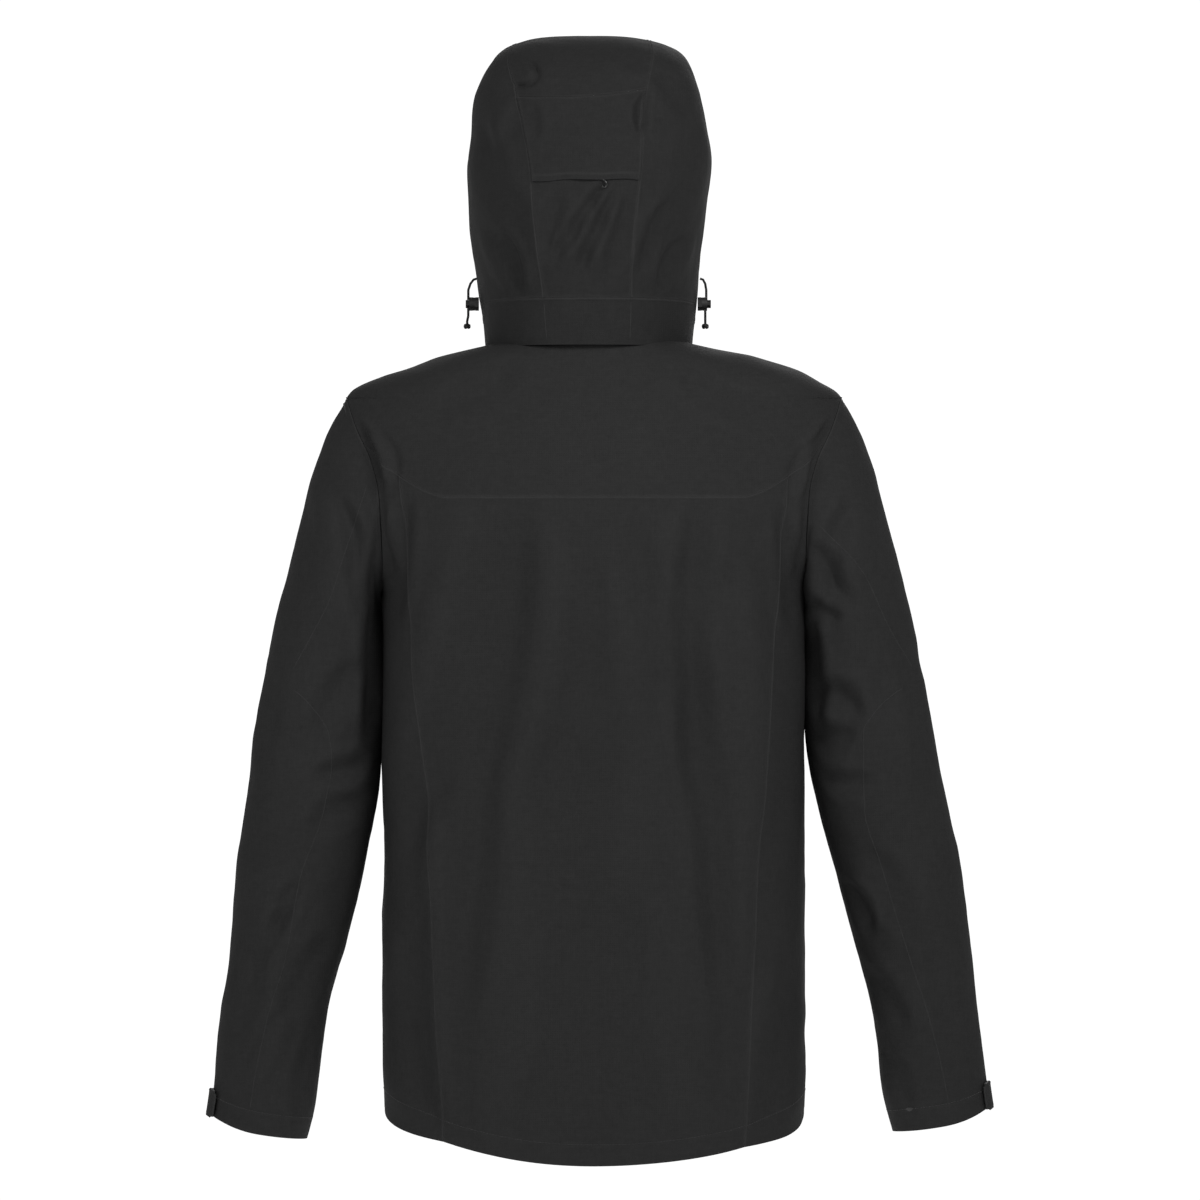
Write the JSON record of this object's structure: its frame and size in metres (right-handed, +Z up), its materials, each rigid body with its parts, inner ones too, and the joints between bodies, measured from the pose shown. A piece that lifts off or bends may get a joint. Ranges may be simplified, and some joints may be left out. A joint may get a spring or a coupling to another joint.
{
  "type": "hooded hardshell jacket",
  "caption": "Hooded waterproof shell jacket with zipped front, articulated sleeves, adjustable hood, strapped cuffs and drawcord hem.",
  "frame": {"origin": "centre back neck, at the hanger loop sewn to the neck seam", "axes": "+Z up, -Y out of the chest, +X to the wearer's left"},
  "size_m": [0.7446, 0.2814, 1.0681],
  "materials": {
    "shell_fabric": "matt, faintly mottled plain weave",
    "facing_fabric": "matt, thin plain weave",
    "woven_tape": "matt herringbone tape",
    "brushed_lining": "soft brushed knit",
    "cord": "braided, slight sheen",
    "zip_plastic": "satin moulded",
    "slider_metal": "satin black enamel",
    "moulded_pull": "matt moulded",
    "hook_and_loop": "rough, matt",
    "moulded_lock": "satin moulded",
    "moulded_button": "slightly glossy moulded"
  },
  "bodies": {
    "shell": {"back_panel": "shell_fabric", "back_yoke": "shell_fabric", "side_panel_left": "shell_fabric", "side_panel_right": "shell_fabric", "front_panel_left": "shell_fabric", "front_panel_right": "shell_fabric", "chest_panel_left": "shell_fabric", "chest_panel_right": "shell_fabric", "hem_facing": "facing_fabric", "hem_drawcord": "cord", "collar": "shell_fabric", "collar_lining": "brushed_lining", "neck_tape": "woven_tape", "hanger_loop": "woven_tape", "chin_guard": "brushed_lining", "zip_tape_left": "woven_tape", "zip_tape_right": "woven_tape", "zip_chain_left": "zip_plastic", "zip_chain_right": "zip_plastic", "zip_bottom_box": "zip_plastic", "zip_top_stops": "zip_plastic", "storm_flap": "woven_tape", "pocket_zip_left": "woven_tape", "pocket_zip_right": "woven_tape", "pocket_bag_left": "facing_fabric", "pocket_bag_right": "facing_fabric", "sleeve_head_left": "shell_fabric", "sleeve_head_right": "shell_fabric"},
    "main_zip_slider": {"main_slider": "slider_metal"},
    "main_zip_pull": {"main_pull": "slider_metal"},
    "hood": {"hood_centre": "shell_fabric", "hood_side_left": "shell_fabric", "hood_side_right": "shell_fabric", "hood_crown": "shell_fabric", "hood_brim": "shell_fabric", "hood_band": "shell_fabric", "hood_face_tunnel": "facing_fabric", "cord_lock_left": "moulded_lock", "cord_lock_right": "moulded_lock", "hood_cord_left": "cord", "hood_cord_right": "cord"},
    "hood_rear_flap": {"hood_flap": "shell_fabric"},
    "pocket_zip_slider_left": {"pocket_slider_left": "slider_metal"},
    "pocket_zip_pull_left": {"pocket_pull_left": "moulded_pull"},
    "upper_arm_left": {"upper_sleeve_left": "shell_fabric", "elbow_left": "shell_fabric"},
    "lower_arm_left": {"forearm_left": "shell_fabric", "cuff_facing_left": "facing_fabric", "cuff_patch_left": "hook_and_loop"},
    "cuff_strap_left": {"cuff_tab_left": "shell_fabric"},
    "cord_button_left": {"lock_button_left": "moulded_button"},
    "pocket_zip_slider_right": {"pocket_slider_right": "slider_metal"},
    "pocket_zip_pull_right": {"pocket_pull_right": "moulded_pull"},
    "upper_arm_right": {"upper_sleeve_right": "shell_fabric", "elbow_right": "shell_fabric"},
    "lower_arm_right": {"forearm_right": "shell_fabric", "cuff_facing_right": "facing_fabric", "cuff_patch_right": "hook_and_loop"},
    "cuff_strap_right": {"cuff_tab_right": "shell_fabric"},
    "cord_button_right": {"lock_button_right": "moulded_button"}
  },
  "joints": [
    {"name": "main_zip", "type": "slide", "parent": "shell", "child": "main_zip_slider", "axis": [0, -0.033, -0.9995], "range_m": [0, 0.735]},
    {"name": "main_pull_swing", "type": "hinge", "parent": "main_zip_slider", "child": "main_zip_pull", "pos_m": [0, -0.20857, 0.02676], "axis": [-1, 0, 0], "range_deg": [0, 150]},
    {"name": "hood_fold", "type": "hinge", "parent": "shell", "child": "hood", "pos_m": [0, 0.0085, 0], "axis": [-1, 0, 0], "range_deg": [0, 120]},
    {"name": "hood_flap_lift", "type": "hinge", "parent": "hood", "child": "hood_rear_flap", "pos_m": [0, 0.0156, 0.2368], "axis": [1, 0, 0], "range_deg": [0, 70]},
    {"name": "pocket_zip_left", "type": "slide", "parent": "shell", "child": "pocket_zip_slider_left", "axis": [0, -0.0298, -0.9996], "range_m": [0, 0.14]},
    {"name": "pocket_pull_swing_left", "type": "hinge", "parent": "pocket_zip_slider_left", "child": "pocket_zip_pull_left", "pos_m": [0.11976, -0.21389, -0.46315], "axis": [-0.9455, -0.3255, 0.0097], "range_deg": [0, 140]},
    {"name": "sleeve_raise_left", "type": "hinge", "parent": "shell", "child": "upper_arm_left", "pos_m": [0.213, -0.088, -0.09], "axis": [0, -1, 0], "range_deg": [0, 65], "deforming": ["sleeve_head_left"]},
    {"name": "elbow_bend_left", "type": "hinge", "parent": "upper_arm_left", "child": "lower_arm_left", "pos_m": [0.264, -0.094, -0.386], "axis": [-0.9851, 0, -0.172], "range_deg": [0, 80], "deforming": ["elbow_left"]},
    {"name": "cuff_strap_peel_left", "type": "hinge", "parent": "lower_arm_left", "child": "cuff_strap_left", "pos_m": [0.34131, -0.16183, -0.71969], "axis": [0.176, -0.0914, -0.9801], "range_deg": [0, 70]},
    {"name": "cord_lock_press_left", "type": "slide", "parent": "hood", "child": "cord_button_left", "axis": [-1, 0, 0], "range_m": [0, 0.0024], "stiffness_N_per_m": 300, "springref_m": -0.004},
    {"name": "pocket_zip_right", "type": "slide", "parent": "shell", "child": "pocket_zip_slider_right", "axis": [0, -0.0298, -0.9996], "range_m": [0, 0.14]},
    {"name": "pocket_pull_swing_right", "type": "hinge", "parent": "pocket_zip_slider_right", "child": "pocket_zip_pull_right", "pos_m": [-0.11976, -0.21389, -0.46315], "axis": [-0.9455, 0.3255, -0.0097], "range_deg": [0, 140]},
    {"name": "sleeve_raise_right", "type": "hinge", "parent": "shell", "child": "upper_arm_right", "pos_m": [-0.213, -0.088, -0.09], "axis": [0, 1, 0], "range_deg": [0, 65], "deforming": ["sleeve_head_right"]},
    {"name": "elbow_bend_right", "type": "hinge", "parent": "upper_arm_right", "child": "lower_arm_right", "pos_m": [-0.264, -0.094, -0.386], "axis": [-0.9851, 0, 0.172], "range_deg": [0, 80], "deforming": ["elbow_right"]},
    {"name": "cuff_strap_peel_right", "type": "hinge", "parent": "lower_arm_right", "child": "cuff_strap_right", "pos_m": [-0.34131, -0.16183, -0.71969], "axis": [0.176, 0.0914, 0.9801], "range_deg": [0, 70]},
    {"name": "cord_lock_press_right", "type": "slide", "parent": "hood", "child": "cord_button_right", "axis": [1, 0, 0], "range_m": [0, 0.0024], "stiffness_N_per_m": 300, "springref_m": -0.004}
  ]
}
